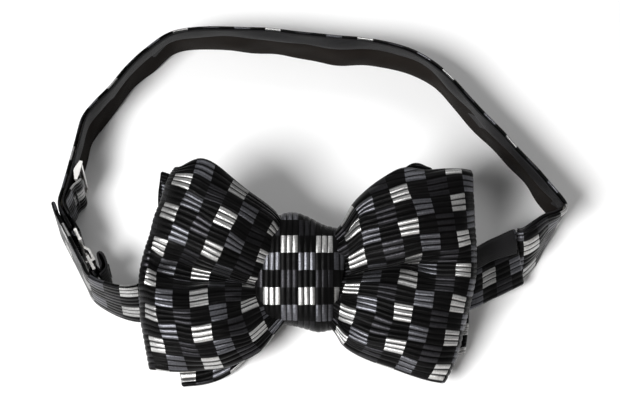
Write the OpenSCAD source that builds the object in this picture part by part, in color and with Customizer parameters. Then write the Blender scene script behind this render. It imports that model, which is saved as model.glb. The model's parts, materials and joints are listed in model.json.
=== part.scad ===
// Tied bow tie with an adjustable neckband closed by a hook and eye.
// The neckband stands on its lower edge and forms a loop; the bow leans back on it.
// +X runs along the bow, +Y from the bow to the back of the neck, +Z up.
// The origin is at the centre of the footprint, on the surface it stands on.

/* [Bow] */
// Angle of the bow's face above the level surface, in degrees
bow_tilt = 28; // [26:1:29]
// Thickness of the widest swelling of a folded loop
loop_swell = 11; // [8:0.5:13]
// Thickness of a flat blade end
end_thick = 3.4; // [2.5:0.1:3.6]

/* [Knot] */
// Length of the knot across the bow
knot_len = 27; // [24:0.5:27.5]
// Height of the knot, from its upper to its lower fold
knot_high = 36.5; // [36:0.5:39]

/* [Neckband] */
// Height of the neckband, edge to edge
band_w = 19.5; // [19:0.1:21]
// Thickness of the patterned outer cloth
shell_t = 0.7; // [0.5:0.05:0.8]
// Thickness of the dark inner lining
lining_t = 0.5; // [0.4:0.05:0.6]

/* [Hardware] */
// Radius of the wire that the slider, hook and eye are made of
wire_r = 0.6; // [0.5:0.02:0.62]
// Radial running clearance between a wire and the cloth loop around it
wire_gap = 0.05; // [0.03:0.01:0.08]
// Number of segments in a full circle
segments = 32; // [24:4:48]

/* [Hidden] */
$fn = segments;
e = 0.05;              // working gap between layers of cloth
half = 1.0;            // half the thickness of the finished band

// ---- frames -----------------------------------------------------------------
bow_at = [-3, -35.5, 20];                 // middle of the bow
module bow_frame() translate(bow_at) rotate([bow_tilt, 0, 0]) children();
function B(s, t, h) = bow_at + [s, t * cos(bow_tilt) - h * sin(bow_tilt), t * sin(bow_tilt) + h * cos(bow_tilt)];

hook_at = [-80.5, -19, 0];            // slot bar of the hook, in plan
hook_dir = -62;                         // direction from the hook to the eye
module hook_frame() translate(hook_at) rotate([0, 0, hook_dir]) children();
function H(x, y, z) = hook_at + [x * cos(hook_dir) - y * sin(hook_dir), x * sin(hook_dir) + y * cos(hook_dir), z];

slider_at = [-83.9, 5.5, 0];              // middle of the slider, in plan
slider_dir = 81;                        // direction the slider travels
module slider_frame_at() translate(slider_at) rotate([0, 0, slider_dir]) children();

// ---- smooth strips ------------------------------------------------------------
function cr(a, b, c, d, t) = 0.5 * ((2 * b) + (c - a) * t + (2 * a - 5 * b + 4 * c - d) * t * t + (3 * b - a - 3 * c + d) * t * t * t);
function smooth(p, n) = [for (i = [0 : len(p) - 2]) for (k = [0 : n - 1])
    let (a = p[max(i - 1, 0)], b = p[i], c = p[i + 1], d = p[min(i + 2, len(p) - 1)]) cr(a, b, c, d, k / n), p[len(p) - 1]];
function unit(v) = v / norm(v);
function side_n(lo, hi, i, level) = let (k = len(lo) - 1, a = max(i - 1, 0), b = min(i + 1, k),
    tan = (lo[b] + hi[b]) / 2 - (lo[a] + hi[a]) / 2, w = level ? [0, 0, 1] : hi[i] - lo[i]) unit(cross(tan, w));
// A layer of cloth between offsets a and b from the middle surface.
module strip(lo, hi, a, b, level = true) {
    k = len(lo);
    pts = [for (i = [0 : k - 1]) let (n = side_n(lo, hi, i, level)) each [lo[i] + a * n, lo[i] + b * n, hi[i] + b * n, hi[i] + a * n]];
    faces = concat(
        [[0, 1, 2], [0, 2, 3]],
        [for (i = [0 : k - 2]) for (j = [0 : 3]) let (p = 4 * i + j, q = 4 * i + (j + 1) % 4)
            each j < 3 ? [[p, p + 4, q], [q, p + 4, q + 4]] : [[p, p + 4, q + 4], [p, q + 4, q]]],
        [let (m = 4 * (k - 1)) each [[m, m + 2, m + 1], [m, m + 3, m + 2]]]);
    polyhedron(pts, faces, convexity = 8);
}
// Lower and upper edges, drawn in from the edge of the strap by a share f of its height.
function up(p) = [p[0], p[1], max(p[2], 0)];
function lows(s, f = 0) = [for (p = s) up(p[0]) + (up(p[1]) - up(p[0])) * f];
function highs(s, f = 0) = [for (p = s) up(p[1]) - (up(p[1]) - up(p[0])) * f];
function lift(pts, z) = [for (p = pts) [p[0], p[1], p[2] + z]];

// ---- routes: lower edge and upper edge of each strap ---------------------------
// Neckband, from the seam at the right, round the kink, the back and the left side to the hook.
band_route = [
    [[69, -31, 1.6], [68, -17.3, 15.4]], [[73, -28, 0.4], [72.5, -18.5, 17.4]], [[77, -23.5, 0], [76, -17.1, 18.8]],
    [[81, -17.5, 0], [80.5, -14.1, 19.3]], [[84.6, -11.5, 0], [85, -12.5, 19.5]], [[86.8, -5.5, 0], [87.8, -10.1, 19.5]],
    [[85.4, 0, 0], [86.6, -6, 19.5]], [[80, 7.5, 0], [81.6, 1, 19.5]], [[73, 16.5, 0], [75, 10, 19.5]],
    [[66, 26.5, 0], [67.5, 20.5, 19.5]], [[57, 39.5, 0], [57.5, 34.5, 19.5]], [[49.5, 50.5, 0], [49, 46, 19.5]],
    [[41.5, 57, 0], [41, 53.5, 19.5]], [[32, 60.5, 0], [32, 58, 19.5]], [[20, 63, 0], [20, 61, 19.5]],
    [[7, 64.5, 0], [7, 62.5, 19.5]], [[-5, 67, 0], [-5, 64, 19.5]], [[-17, 69, 0], [-17, 65.5, 19.5]],
    [[-30, 70, 0], [-30, 66, 19.5]], [[-42, 69.5, 0], [-42, 65.5, 19.5]], [[-52.5, 67, 0], [-52, 63, 19.5]],
    [[-61, 60.5, 0], [-60, 56.5, 19.5]], [[-66.5, 53, 0], [-66, 49, 19.5]], [[-72, 43.5, 0], [-71.6, 40, 19.5]],
    [[-76.6, 35, 0], [-76.8, 33, 19.5]], [[-80.5, 26.5, 0], [-80.5, 26.5, 19.5]], [[-82.1, 16.5, 0], [-82.1, 16.5, 19.5]],
    [[-83.7, 6.5, 0], [-83.7, 6.5, 19.5]], [[-85, -1.5, 0], [-85, -1.5, 19.5]], [[-85.9, -8.1, 0], [-85.9, -8.1, 19.5]],
    [H(-6.4, 0, 0), H(-6.4, 0, 19.5)], [H(-2, 0, 0), H(-2, 0, 19.5)]];
// The doubled-back end follows the left side of the band, a strap's thickness inside it.
return_route = [
    [[-84.15, 3.9, 0], [-84.15, 3.9, 0]], [[-84.5, 1.5, 0], [-84.5, 1.5, 0]], [[-85, -1.5, 0], [-85, -1.5, 0]],
    [[-85.9, -8.1, 0], [-85.9, -8.1, 0]], [H(-6.4, 0, 0), H(-6.4, 0, 0)], [H(-2, 0, 0), H(-2, 0, 0)]];
// Strap behind the knot, out to the left edge of the bow.
pass_route = [
    [B(13.6, -11, -6.1), B(13.6, 8.5, -6.1)], [B(-14, -11, -6.1), B(-14, 8.5, -6.1)], [[-29, -44, 6.5], [-29, -27.5, 16.3]],
    [[-41, -45, 2.5], [-41, -31.5, 16]], [[-51.6, -45.1, 0.6], [-51.6, -37.5, 16.8]]];
// Left strap, from the edge of the bow to its free end outside the hook.
left_route = [
    [[-54.2, -44.9, 0.5], [-54.2, -38.3, 17.4]], [[-61, -43.7, 0.4], [-61, -40.5, 19.1]], [[-67.5, -40.9, 0.3], [-67.5, -39.5, 19.4]],
    [H(18.5, -2.2, 0.2), H(18.5, -2.2, 19.5)], [H(12, -2.2, 0.2), H(12, -2.2, 19.5)], [H(5, -2.2, 0.2), H(5, -2.2, 19.5)],
    [H(-2, -2.2, 0.2), H(-2, -2.2, 19.5)], [[-86.6, -12.3, 0.2], [-86.6, -12.3, 19.5]], [[-88, -8.7, 0.2], [-88, -8.7, 19.5]]];
// Right strap, from the knot to its sewn end.
right_route = [
    [B(14.2, -11, -5.9), B(14.2, 8.5, -5.9)], [B(34, -12, -5.6), B(34, 7.5, -5.6)], [B(54, -13, -5), B(54, 6.5, -5)],
    [[62, -38.7, 6.6], [60.5, -22.7, 17.6]], [[72.7, -32.1, 4.4], [69, -18.7, 18.2]]];

band = smooth(band_route, 2);
ret = smooth(return_route, 2);
pass = smooth(pass_route, 3);
left = smooth(left_route, 3);
right = smooth(right_route, 3);
tall = band_w - 19.5;

module oval(w, h, r) {
    square([w - 2 * r, h], center = true);
    square([w, h - 2 * r], center = true);
    for (sx = [-1, 1]) for (sy = [-1, 1]) translate([sx * (w / 2 - r), sy * (h / 2 - r)]) circle(r);
}
module slab(h, t, pts) translate([0, 0, h]) linear_extrude(t) polygon(pts);

// ---- outlines of the four wings, in the bow's own plane --------------------------
front_loop_rim = [[-40, 31], [-37, 35.5], [-33.5, 36], [-29, 33.5], [-40, -32.4], [-47.5, -31.5], [-50.2, -27], [-50.6, -3], [-47.5, 12], [-43.8, 22.5]];
front_loop_root = [[-14.4, -17], [-14.4, 19], [-16.5, 21], [-16.5, -19]];
front_end_rim = [[34, 33], [51.5, 32.4], [54.8, 28], [56, 0], [53.6, -12], [49, -30], [46.8, -34.6], [44, -35.6], [35, -32.5]];
front_end_root = [[13.9, -16.5], [13.9, 10], [16.5, 15], [16.5, -20]];
back_end_rim = [[-44.4, 31], [-38, 31.5], [-22.5, -31.2], [-30.5, -34.8], [-38, -35.8], [-38.5, -4], [-46, 19]];
back_loop_rim = [[34, 33.5], [37, 34.6], [40, 34.2], [47, 24], [53.4, -5], [53.4, -24], [50.4, -28], [38, -31.5], [28, -29]];

module wing(root, rim, root_h, root_t, rim_h, rim_t, mid_h, mid_t, mid) difference() {
    hull() {
        slab(root_h, root_t, root);
        slab(rim_h, rim_t, rim);
        slab(mid_h, mid_t, mid);
    }
    children();
}
// Ply of cloth inside a wing: a flat panel on a slope, g larger all round for its pocket.
module ply(x0, x1, y0, y1, h, t, slope, g = 0)
    translate([0, 0, h - g]) rotate([0, -slope, 0]) translate([x0 - g, y0 - g, 0]) cube([x1 - x0 + 2 * g, y1 - y0 + 2 * g, t + 2 * g]);

module front_loop_ply(g = 0) ply(-43, -20, -20, 18, 1.3, 1.2, -8, g);
module front_end_ply(g = 0) ply(19, 47, -18, 16, 1.1, 1.1, 8, g);
module back_end_ply(g = 0) ply(-38, -18, -18, 20, -2.5, 0.7, 0, g);
module back_loop_ply(g = 0) ply(18, 46, -18, 20, -2.5, 0.7, 0, g);

module front_loop() color("#2b2b2f") bow_frame()
    wing(front_loop_root, front_loop_rim, 0.3, 6, 5.4, 4, 2.4, loop_swell, [[-25, -17], [-38, -19], [-38, 19], [-25, 19]]) front_loop_ply(0.1);
module front_loop_interlining() color("ivory") bow_frame() front_loop_ply();
module front_end() color("#2b2b2f") bow_frame()
    wing(front_end_root, front_end_rim, 0.3, 6, 5.4, end_thick, 2.4, 8.5, [[25, -17], [38, -19], [38, 19], [25, 14]]) front_end_ply(0.1);
module front_end_interlining() color("ivory") bow_frame() front_end_ply();
module back_end() color("#232327") bow_frame()
    wing([[-14.4, -15], [-14.4, 16], [-16, 17], [-16, -17]], back_end_rim, -4.8, 4.6, -3.3, end_thick - 0.1, -3.6, 3.6, [[-22, -17], [-32, -20], [-32, 18], [-22, 18]]) back_end_ply(0.1);
module back_end_interlining() color("ivory") bow_frame() back_end_ply();
module back_loop() color("#232327") bow_frame()
    wing([[13.9, -15], [13.9, 13], [16, 15], [16, -17]], back_loop_rim, -4.6, 4.4, -3.4, 3.4, -3.7, 3.7, [[22, -17], [36, -20], [36, 18], [22, 18]]) back_loop_ply(0.1);
module back_loop_interlining() color("ivory") bow_frame() back_loop_ply();

// ---- knot ------------------------------------------------------------------------
module around_knot(x0, x1) translate([x0, 0, -0.5]) rotate([90, 0, 90]) linear_extrude(x1 - x0) children();
module front_waist() color("#232327") bow_frame() translate([-14.3, -11, 0]) cube([28.1, 22, 5.8]);
module back_waist() color("#232327") bow_frame() translate([-14.3, -14, -4.8]) cube([28.1, 28, 4.6]);
module knot_wrap() color("#303035") bow_frame() difference() {
    around_knot(-knot_len / 2 - 0.5, knot_len / 2 - 0.5) difference() { oval(knot_high, 18, 8); oval(knot_high - 4.5, 13.6, 6); }
    around_knot(-knot_len / 2 + 0.5, knot_len / 2 - 1.5) difference() { oval(knot_high - 1.4, 16.6, 7.3); oval(knot_high - 3, 15, 6.6); }
}
module knot_interlining() color("ivory") bow_frame()
    around_knot(-knot_len / 2 + 0.6, knot_len / 2 - 1.6) difference() { oval(knot_high - 1.6, 16.4, 7.2); oval(knot_high - 2.8, 15.2, 6.7); }

// ---- straps ------------------------------------------------------------------------
module neck_pass() color("#2b2b2f") strip(lows(pass), highs(pass), -half, half, false);
module right_strap() color("#2b2b2f") {
    strip(lows(right), highs(right), 0.4, half, false);
    strip(lows(right), highs(right), -half, -0.4, false);
}
module right_strap_interlining() color("ivory") strip(lows(right, 0.02), highs(right, 0.02), -0.4 + e, 0.4 - e, false);
module band_shell() color("#303035") strip(lows(band), lift(highs(band), tall), half - shell_t, half);
module band_interlining() color("ivory") strip(lows(band, 0.02), lift(highs(band, 0.02), tall), -half + lining_t + e, half - shell_t - e);
module band_lining() color("#3a332e") strip(lows(band, 0.015), lift(highs(band, 0.015), tall), -half, -half + lining_t);
module return_strap() color("#4a4a50") strip(lift(lows(ret), 1.9), lift(highs(ret), 17.6), -2.65, -1.15);
module return_bar_tack() color("black") slider_frame_at() translate([-7, -2.99, 5]) cube([0.9, 0.3, 10]);
module left_strap() color("#2b2b2f") {
    strip(lows(left), highs(left), 0.4, half);
    strip(lows(left), highs(left), -half, -0.4);
}
module left_strap_interlining() color("ivory") strip(lows(left, 0.02), highs(left, 0.02), -0.4 + e, 0.4 - e);

// ---- cloth loops around the wires ----------------------------------------------------
bar_y = 0.83;       // slot bar of the hook, inside the band's inner face
eye_x = 14.5;       // pivot of the eye
eye_y = 0.75;
module strap_fold() color("#4a4a50") hook_frame() translate([0, bar_y, 2.2]) difference() {
    cylinder(r = 1.83, h = 15.1);
    translate([0, 0, -1]) cylinder(r = wire_r + wire_gap, h = 18);
}
module slider_loop() color("#4a4a50") slider_frame_at() translate([0, -2.25, 2.2]) difference() {
    cylinder(r = 1.1, h = 15.1);
    translate([0, 0, -1]) cylinder(r = 0.55, h = 18);
}
module eye_tab() color("#232327") hook_frame() difference() {
    union() {
        translate([eye_x, eye_y, 6.2]) cylinder(r = 1.75, h = 7.1);
        translate([eye_x, eye_y - 1.75, 6.2]) cube([3, 3.5, 7.1]);
        translate([0, 0, 1.5]) linear_extrude(16.5) polygon([[16.6, -0.9], [18.2, -0.9], [19, 3.6], [18.4, 5.4], [12.2, 5.6], [11, 4.6], [11.2, 3.2], [16.6, 3]]);
    }
    translate([eye_x, eye_y, 0]) cylinder(r = wire_r + wire_gap, h = 20);
}
module eye_bar_tack() color("black") hook_frame() translate([15.2, 5.62, 5]) rotate([0, 0, -1.85]) cube([0.9, 0.3, 9]);

// ---- metal ---------------------------------------------------------------------------
module post(x, y, z0, z1, r) translate([x, y, z0]) cylinder(r = r, h = z1 - z0);
module rail(x0, x1, y, z, r) translate([x0, y, z]) rotate([0, 90, 0]) cylinder(r = r, h = x1 - x0);
module slider_frame() color("silver") slider_frame_at() {
    post(0, -2.25, 1.2, 18.2, 0.5);
    for (x = [-3.2, 3.2]) post(x, -3.35, 1.2, 18.2, 0.5);
    for (z = [0.7, 17.9]) translate([0, 0, z]) linear_extrude(0.9)
        polygon([[-3.8, -3.9], [3.8, -3.9], [3.8, -2.9], [0.5, -1.8], [-0.5, -1.8], [-3.8, -2.9]]);
}
module hook() color("silver") hook_frame() {
    post(0, bar_y, 1, 18.5, wire_r);
    post(3.9, bar_y, 1, 18.5, wire_r);
    for (z = [1.4, 18.1]) rail(0, 3.9, bar_y, z, 0.5);
    translate([0, 0, 7]) linear_extrude(5.5)
        polygon([[3.5, 0.4], [6.1, 2], [9.6, 2], [9.6, -0.4], [10.5, -0.4], [10.5, 2.8], [5.8, 2.8], [3.5, 1.4]]);
}
module eye_ring() color("silver") hook_frame() {
    post(eye_x, eye_y, 4.65, 14.85, wire_r);
    translate([0, eye_y + 0.5, 9.75]) rotate([90, 0, 0]) linear_extrude(1) polygon([
        [6.6, -3], [6.6, 3], [9, 5.1], [14.5, 5.1], [14.5, 4], [9.6, 4],
        [7.8, 2.5], [7.8, -2.5], [9.6, -4], [14.5, -4], [14.5, -5.1], [9, -5.1]]);
}

front_loop();
front_loop_interlining();
front_end();
front_end_interlining();
back_end();
back_end_interlining();
back_loop();
back_loop_interlining();
front_waist();
back_waist();
knot_wrap();
knot_interlining();
neck_pass();
right_strap();
right_strap_interlining();
band_shell();
band_interlining();
band_lining();
return_strap();
strap_fold();
return_bar_tack();
slider_frame();
slider_loop();
hook();
eye_ring();
left_strap();
left_strap_interlining();
eye_tab();
eye_bar_tack();
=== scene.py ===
import json
import math
import bpy
import numpy as np
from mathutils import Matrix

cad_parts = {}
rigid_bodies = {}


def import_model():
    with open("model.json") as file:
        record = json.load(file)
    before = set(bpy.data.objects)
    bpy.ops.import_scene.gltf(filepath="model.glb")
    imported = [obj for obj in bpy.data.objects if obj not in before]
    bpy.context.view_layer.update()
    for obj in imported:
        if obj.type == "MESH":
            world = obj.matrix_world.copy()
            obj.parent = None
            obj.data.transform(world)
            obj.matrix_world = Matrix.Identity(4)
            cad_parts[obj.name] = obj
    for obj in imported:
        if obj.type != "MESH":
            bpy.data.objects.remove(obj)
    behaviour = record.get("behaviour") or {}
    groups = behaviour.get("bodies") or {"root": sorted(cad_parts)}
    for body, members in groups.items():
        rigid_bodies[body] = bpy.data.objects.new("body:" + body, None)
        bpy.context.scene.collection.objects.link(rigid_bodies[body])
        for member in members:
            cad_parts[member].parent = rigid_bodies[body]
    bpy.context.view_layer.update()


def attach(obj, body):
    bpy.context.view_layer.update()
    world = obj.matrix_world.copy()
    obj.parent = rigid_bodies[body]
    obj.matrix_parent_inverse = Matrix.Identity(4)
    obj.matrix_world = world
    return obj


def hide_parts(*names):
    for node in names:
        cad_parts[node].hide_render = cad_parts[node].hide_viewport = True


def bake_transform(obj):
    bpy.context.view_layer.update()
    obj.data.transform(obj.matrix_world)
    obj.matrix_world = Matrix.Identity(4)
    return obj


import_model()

ROOT, SLIDER, HOOK, LEFT, EYE = "bow_and_band", "slider", "hook", "left_strap", "eye"
MM = 0.001
CELL, RIB = 5.7, 1.9

# ---------------------------------------------------------------- frames (mm)
TILT = math.radians(28.0)
BOW_AT = np.array([-3.0, -35.5, 20.0])
BX = np.array([1.0, 0.0, 0.0])
BT = np.array([0.0, math.cos(TILT), math.sin(TILT)])
BN = np.array([0.0, -math.sin(TILT), math.cos(TILT)])


def B(s, t, h):
    return BOW_AT + s * BX + t * BT + h * BN


def bow_points(P):
    P = np.asarray(P, float)
    return BOW_AT + P[..., 0:1] * BX + P[..., 1:2] * BT + P[..., 2:3] * BN


HA = math.radians(-62.0)


def H(x, y, z):
    return np.array([-80.5 + x * math.cos(HA) - y * math.sin(HA), -19.0 + x * math.sin(HA) + y * math.cos(HA), z])


# ---------------------------------------------------------------- numeric helpers
def noise1(x, seed, scale):
    """Smooth seeded noise of one variable, about -1 to 1."""
    r = np.random.RandomState(seed)
    k = r.uniform(0.6, 2.6, 6) / scale
    p = r.uniform(0, 6.28, 6)
    a = 1.0 / (0.6 + k * scale)
    x = np.asarray(x, float)
    return sum(a[i] * np.sin(k[i] * x + p[i]) for i in range(6)) / a.sum() * 1.6


def cr_weights(n, ts):
    """Catmull-Rom weights: ts are in control-point index units."""
    ts = np.clip(np.asarray(ts, float), 0, n - 1 - 1e-9)
    i = np.floor(ts).astype(int)
    f = ts - i
    W = np.zeros((len(ts), n))
    c = [-0.5 * f + f**2 - 0.5 * f**3, 1 - 2.5 * f**2 + 1.5 * f**3, 0.5 * f + 2 * f**2 - 1.5 * f**3, -0.5 * f**2 + 0.5 * f**3]
    rows = np.arange(len(ts))
    for k in range(4):
        j = i + k - 1
        lo = j < 0
        hi = j > n - 1
        ok = ~lo & ~hi
        np.add.at(W, (rows[ok], j[ok]), c[k][ok])
        # straight extension past the ends
        np.add.at(W, (rows[lo], np.zeros(lo.sum(), int)), 2 * c[k][lo])
        np.add.at(W, (rows[lo], np.ones(lo.sum(), int)), -c[k][lo])
        np.add.at(W, (rows[hi], np.full(hi.sum(), n - 1)), 2 * c[k][hi])
        np.add.at(W, (rows[hi], np.full(hi.sum(), n - 2)), -c[k][hi])
    return W


def net(P, tu, tv):
    P = np.asarray(P, float)
    Wu, Wv = cr_weights(P.shape[0], tu), cr_weights(P.shape[1], tv)
    return np.einsum("ai,bj,ijk->abk", Wu, Wv, P)


def relax(S, n=2):
    for _ in range(n):
        S = S.copy()
        S[1:-1] = 0.5 * S[1:-1] + 0.25 * (S[:-2] + S[2:])
        S[:, 1:-1] = 0.5 * S[:, 1:-1] + 0.25 * (S[:, :-2] + S[:, 2:])
    return S


def rib_rows(v0, v1):
    """Rows of vertices across the ribs: five to a rib, closer together at the gaps."""
    out = []
    k = math.floor(v0 / RIB)
    while k * RIB <= v1 + 1e-6:
        for p in (0.0, 0.13, 0.37, 0.63, 0.87):
            v = (k + p) * RIB
            if v0 + 0.05 < v < v1 - 0.05:
                out.append(v)
        k += 1
    return np.array([v0] + out + [v1])


def rib_height(v, amp):
    ph = np.mod(np.asarray(v, float) / RIB, 1.0)
    return amp * (np.abs(np.sin(math.pi * ph)) ** 0.45 - 0.75)


def grid_normals(S):
    du = np.gradient(S, axis=0)
    dv = np.gradient(S, axis=1)
    n = np.cross(du, dv)
    n /= np.maximum(np.linalg.norm(n, axis=2, keepdims=True), 1e-9)
    return n, du, dv


def new_mesh(name, verts, faces, uvs=None, mats=(), smooth=True):
    me = bpy.data.meshes.new(name)
    me.from_pydata([tuple(v) for v in (np.asarray(verts) * MM).tolist()], [], [tuple(f) for f in faces])
    if uvs is not None:
        layer = me.uv_layers.new(name="cloth")
        loops = np.empty(len(me.loops), dtype=np.int32)
        me.loops.foreach_get("vertex_index", loops)
        layer.data.foreach_set("uv", np.asarray(uvs, dtype=np.float32)[loops].ravel())
    me.polygons.foreach_set("use_smooth", [smooth] * len(me.polygons))
    me.update()
    o = bpy.data.objects.new(name, me)
    bpy.context.scene.collection.objects.link(o)
    for m in mats:
        me.materials.append(m)
    return o


def cloth(name, S, U, V, thick, mat, amp=0.26, ends=(False, False), flip=False, closed=False, amp_back=None, edge=1.0):
    """A thick, closed piece of cloth on the grid S (nu x nv points, mm); U and V are its own cloth coordinates."""
    S = np.asarray(S, float)
    nu, nv = S.shape[:2]
    U = np.broadcast_to(np.asarray(U, float).reshape(nu, -1) if np.ndim(U) < 2 else U, (nu, nv))
    V = np.broadcast_to(V, (nu, nv))
    n, du, dv = grid_normals(S)
    if closed:
        n2 = np.cross(np.roll(S, -1, 0) - np.roll(S, 1, 0), dv)
        n = n2 / np.maximum(np.linalg.norm(n2, axis=2, keepdims=True), 1e-9)
    if flip:
        n = -n
    T = np.broadcast_to(np.asarray(thick, float), (nu, nv)) / 2.0
    ab = amp if amp_back is None else amp_back
    fade = np.minimum(1.0, np.minimum(np.arange(nv), np.arange(nv)[::-1]) / 3.0)[None, :]
    front = S + n * (T + rib_height(V, amp) * fade)[..., None]
    back = S - n * (T + rib_height(V, ab) * fade)[..., None]
    ev1 = dv[:, -1] / np.maximum(np.linalg.norm(dv[:, -1], axis=1, keepdims=True), 1e-9)
    ev0 = -dv[:, 0] / np.maximum(np.linalg.norm(dv[:, 0], axis=1, keepdims=True), 1e-9)
    arcs1, arcs0 = [], []
    for a in (35, 70, 110, 145):
        c, s_ = math.cos(math.radians(a)), math.sin(math.radians(a))
        arcs1.append(S[:, -1] + n[:, -1] * T[:, -1:] * c + ev1 * T[:, -1:] * s_ * edge)
        arcs0.append(S[:, 0] - n[:, 0] * T[:, :1] * c + ev0 * T[:, :1] * s_ * edge)
    ring = np.concatenate([front, np.stack(arcs1, 1), back[:, ::-1], np.stack(arcs0, 1)], 1)
    dvv = np.array([0.3, 0.6, 0.9, 1.2])
    rv = np.concatenate([V, V[:, -1:] + dvv, V[:, ::-1] + 0.0, V[:, :1] - dvv[::-1]], 1)
    ru = np.concatenate([U, np.repeat(U[:, -1:], 4, 1), U[:, ::-1], np.repeat(U[:, :1], 4, 1)], 1)
    mid = np.concatenate([S, np.repeat(S[:, -1:], 4, 1), S[:, ::-1], np.repeat(S[:, :1], 4, 1)], 1)
    m = ring.shape[1]
    rings, uu, vv = [ring], [ru], [rv]
    if not closed:
        for end in (0, 1):
            if not ends[end]:
                continue
            k = 0 if end == 0 else -1
            e = (S[0] - S[1]) if end == 0 else (S[-1] - S[-2])
            e /= np.maximum(np.linalg.norm(e, axis=1, keepdims=True), 1e-9)
            e = np.concatenate([e, np.repeat(e[-1:], 4, 0), e[::-1], np.repeat(e[:1], 4, 0)], 0)
            t = np.concatenate([T[k], np.repeat(T[k][-1:], 4), T[k][::-1], np.repeat(T[k][:1], 4)])[:, None]
            add = []
            for a in (25, 50, 72, 86):
                c, s_ = math.cos(math.radians(a)), math.sin(math.radians(a))
                add.append(mid[k] + (ring[k] - mid[k]) * c + e * t * s_)
            if end == 0:
                rings.insert(0, np.stack(add[::-1], 0))
                uu.insert(0, np.repeat(ru[:1], 4, 0))
                vv.insert(0, np.repeat(rv[:1], 4, 0))
            else:
                rings.append(np.stack(add, 0))
                uu.append(np.repeat(ru[-1:], 4, 0))
                vv.append(np.repeat(rv[-1:], 4, 0))
    R = np.concatenate(rings, 0)
    RU, RV = np.concatenate(uu, 0), np.concatenate(vv, 0)
    N = R.shape[0]
    faces = []
    idx = np.arange(N * m).reshape(N, m)
    last = N if closed else N - 1
    a = idx[:last]
    b = np.roll(idx, -1, 0)[:last]
    q = np.stack([a, b, np.roll(b, -1, 1), np.roll(a, -1, 1)], -1).reshape(-1, 4)
    if closed:
        pass
    faces = q.tolist()
    if not closed:
        for k, rev in ((0, False), (N - 1, True)):
            r = idx[k]
            f_ = list(range(nv))
            for j in range(nv - 1):
                quad = [r[j], r[j + 1], r[2 * nv + 4 - 1 - (j + 1)], r[2 * nv + 4 - 1 - j]]
                faces.append(quad if not rev else quad[::-1])
            c1 = [r[nv - 1], r[nv], r[nv + 1], r[nv + 2], r[nv + 3], r[nv + 4]]
            c0 = [r[2 * nv + 3], r[2 * nv + 4], r[2 * nv + 5], r[2 * nv + 6], r[2 * nv + 7], r[0]]
            faces.append(c1 if not rev else c1[::-1])
            faces.append(c0 if not rev else c0[::-1])
    if flip:
        faces = [f[::-1] for f in faces]
    uvs = np.stack([RU, RV], -1).reshape(-1, 2)
    o = new_mesh(name, R.reshape(-1, 3), faces, uvs, (mat,))
    # face directions are made to agree with the outside
    import bmesh
    bm = bmesh.new()
    bm.from_mesh(o.data)
    bmesh.ops.recalc_face_normals(bm, faces=bm.faces)
    bm.to_mesh(o.data)
    bm.free()
    o.data.update()
    return o


# ---------------------------------------------------------------- materials
class Nodes:
    def __init__(self, name):
        self.mat = bpy.data.materials.new(name)
        self.mat.use_nodes = True
        self.nt = self.mat.node_tree
        self.nt.nodes.clear()
        self.out = self.nt.nodes.new("ShaderNodeOutputMaterial")
        self.bsdf = self.nt.nodes.new("ShaderNodeBsdfPrincipled")
        self.nt.links.new(self.bsdf.outputs[0], self.out.inputs[0])

    def put(self, node, socket, value):
        if value is None:
            return
        s = node.inputs[socket]
        if isinstance(value, bpy.types.NodeSocket):
            self.nt.links.new(value, s)
        else:
            s.default_value = value

    def math(self, op, a, b=None, c=None, clamp=False):
        n = self.nt.nodes.new("ShaderNodeMath")
        n.operation = op
        n.use_clamp = clamp
        self.put(n, 0, a)
        self.put(n, 1, b)
        self.put(n, 2, c)
        return n.outputs[0]

    def mix(self, f, a, b):
        n = self.nt.nodes.new("ShaderNodeMix")
        n.data_type = "RGBA"
        self.put(n, 0, f)
        self.put(n, 6, a)
        self.put(n, 7, b)
        return n.outputs[2]

    def noise(self, vec, scale, detail=2.0, rough=0.5):
        n = self.nt.nodes.new("ShaderNodeTexNoise")
        self.put(n, "Vector", vec)
        n.inputs["Scale"].default_value = scale
        n.inputs["Detail"].default_value = detail
        n.inputs["Roughness"].default_value = rough
        return n.outputs[0]

    def xyz(self, x, y, z=0.0):
        n = self.nt.nodes.new("ShaderNodeCombineXYZ")
        self.put(n, 0, x)
        self.put(n, 1, y)
        self.put(n, 2, z)
        return n.outputs[0]

    def uv(self, name="cloth"):
        n = self.nt.nodes.new("ShaderNodeUVMap")
        n.uv_map = name
        s = self.nt.nodes.new("ShaderNodeSeparateXYZ")
        self.nt.links.new(n.outputs[0], s.inputs[0])
        return s.outputs[0], s.outputs[1]

    def bump(self, height, strength, dist=0.0003):
        n = self.nt.nodes.new("ShaderNodeBump")
        n.inputs["Strength"].default_value = strength
        n.inputs["Distance"].default_value = dist
        self.put(n, "Height", height)
        self.nt.links.new(n.outputs[0], self.bsdf.inputs["Normal"])

    def set(self, **kw):
        for k, v in kw.items():
            self.put(self.bsdf, k.replace("_", " "), v)


def rgb(r, g, b):
    return (r, g, b, 1.0)


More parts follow.
